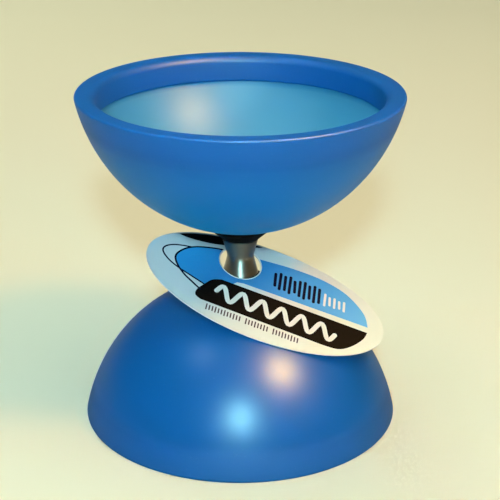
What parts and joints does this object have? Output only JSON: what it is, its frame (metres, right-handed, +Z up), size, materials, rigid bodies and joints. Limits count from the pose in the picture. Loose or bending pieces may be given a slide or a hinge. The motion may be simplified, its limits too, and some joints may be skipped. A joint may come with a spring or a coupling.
{
  "type": "diabolo",
  "caption": "Juggling diabolo: two translucent bowl-shaped cups, mouths outwards on a spindle, with a waisted free-turning steel sleeve between them and an oval card tag.",
  "frame": {"origin": "centre of the lower rim, on the surface that the diabolo stands on", "axes": "+Z up along the spindle; the tag's long side runs roughly along X and tips down to the front right (+X, -Y)"},
  "size_m": [0.1206, 0.1206, 0.128],
  "materials": {
    "cup_plastic": "satin translucent blue plastic, lighter where thin",
    "hub_nylon": "black moulded nylon",
    "polished_steel": "turned and polished",
    "zinc_steel": "zinc plated",
    "bearing_steel": "ground bearing steel",
    "white_nylon": "moulded nylon",
    "printed_card": "coated card printed with a plain abstract design"
  },
  "bodies": {
    "spool": {"spindle": "zinc_steel", "lower_cup": "cup_plastic", "upper_cup": "cup_plastic", "lower_hub": "hub_nylon", "upper_hub": "hub_nylon", "lower_clamp_washer": "zinc_steel", "upper_clamp_washer": "zinc_steel", "lower_plain_washer": "zinc_steel", "upper_plain_washer": "zinc_steel", "lower_lock_nut": "zinc_steel", "upper_lock_nut": "zinc_steel", "lower_nut_nylon_ring": "white_nylon", "upper_nut_nylon_ring": "white_nylon", "lower_bearing_spacer": "bearing_steel", "upper_bearing_spacer": "bearing_steel", "lower_bearing_inner_race": "bearing_steel", "upper_bearing_inner_race": "bearing_steel"},
    "sleeve": {"axle_sleeve": "polished_steel", "lower_bearing_outer_race": "bearing_steel", "upper_bearing_outer_race": "bearing_steel", "lower_bearing_inner_shield": "bearing_steel", "upper_bearing_inner_shield": "bearing_steel", "lower_bearing_outer_shield": "bearing_steel", "upper_bearing_outer_shield": "bearing_steel", "clutch_shell": "bearing_steel", "clutch_cage": "white_nylon", "clutch_roller_1": "bearing_steel", "clutch_roller_2": "bearing_steel", "clutch_roller_3": "bearing_steel", "clutch_roller_4": "bearing_steel", "clutch_roller_5": "bearing_steel", "clutch_roller_6": "bearing_steel", "clutch_roller_7": "bearing_steel", "clutch_roller_8": "bearing_steel"},
    "lower_ball_set": {"lower_bearing_cage": "white_nylon", "lower_bearing_ball_1": "bearing_steel", "lower_bearing_ball_2": "bearing_steel", "lower_bearing_ball_3": "bearing_steel", "lower_bearing_ball_4": "bearing_steel", "lower_bearing_ball_5": "bearing_steel", "lower_bearing_ball_6": "bearing_steel", "lower_bearing_ball_7": "bearing_steel"},
    "upper_ball_set": {"upper_bearing_cage": "white_nylon", "upper_bearing_ball_1": "bearing_steel", "upper_bearing_ball_2": "bearing_steel", "upper_bearing_ball_3": "bearing_steel", "upper_bearing_ball_4": "bearing_steel", "upper_bearing_ball_5": "bearing_steel", "upper_bearing_ball_6": "bearing_steel", "upper_bearing_ball_7": "bearing_steel"},
    "tag": {"card_tag": "printed_card"}
  },
  "joints": [
    {"name": "sleeve_spin", "type": "hinge", "parent": "spool", "child": "sleeve", "pos_m": [0, 0, 0.064], "axis": [0, 0, 1], "continuous": true},
    {"name": "lower_cage_spin", "type": "hinge", "parent": "spool", "child": "lower_ball_set", "pos_m": [0, 0, 0.0591], "axis": [0, 0, 1], "continuous": true},
    {"name": "upper_cage_spin", "type": "hinge", "parent": "spool", "child": "upper_ball_set", "pos_m": [0, 0, 0.0689], "axis": [0, 0, 1], "continuous": true},
    {"name": "tag_swivel", "type": "hinge", "parent": "spool", "child": "tag", "pos_m": [0, 0, 0.064], "axis": [0, 0, 1], "continuous": true}
  ],
  "couplings": [
    {"joint": "lower_cage_spin", "follows": "sleeve_spin", "ratio": 0.5833},
    {"joint": "upper_cage_spin", "follows": "sleeve_spin", "ratio": 0.5833}
  ]
}
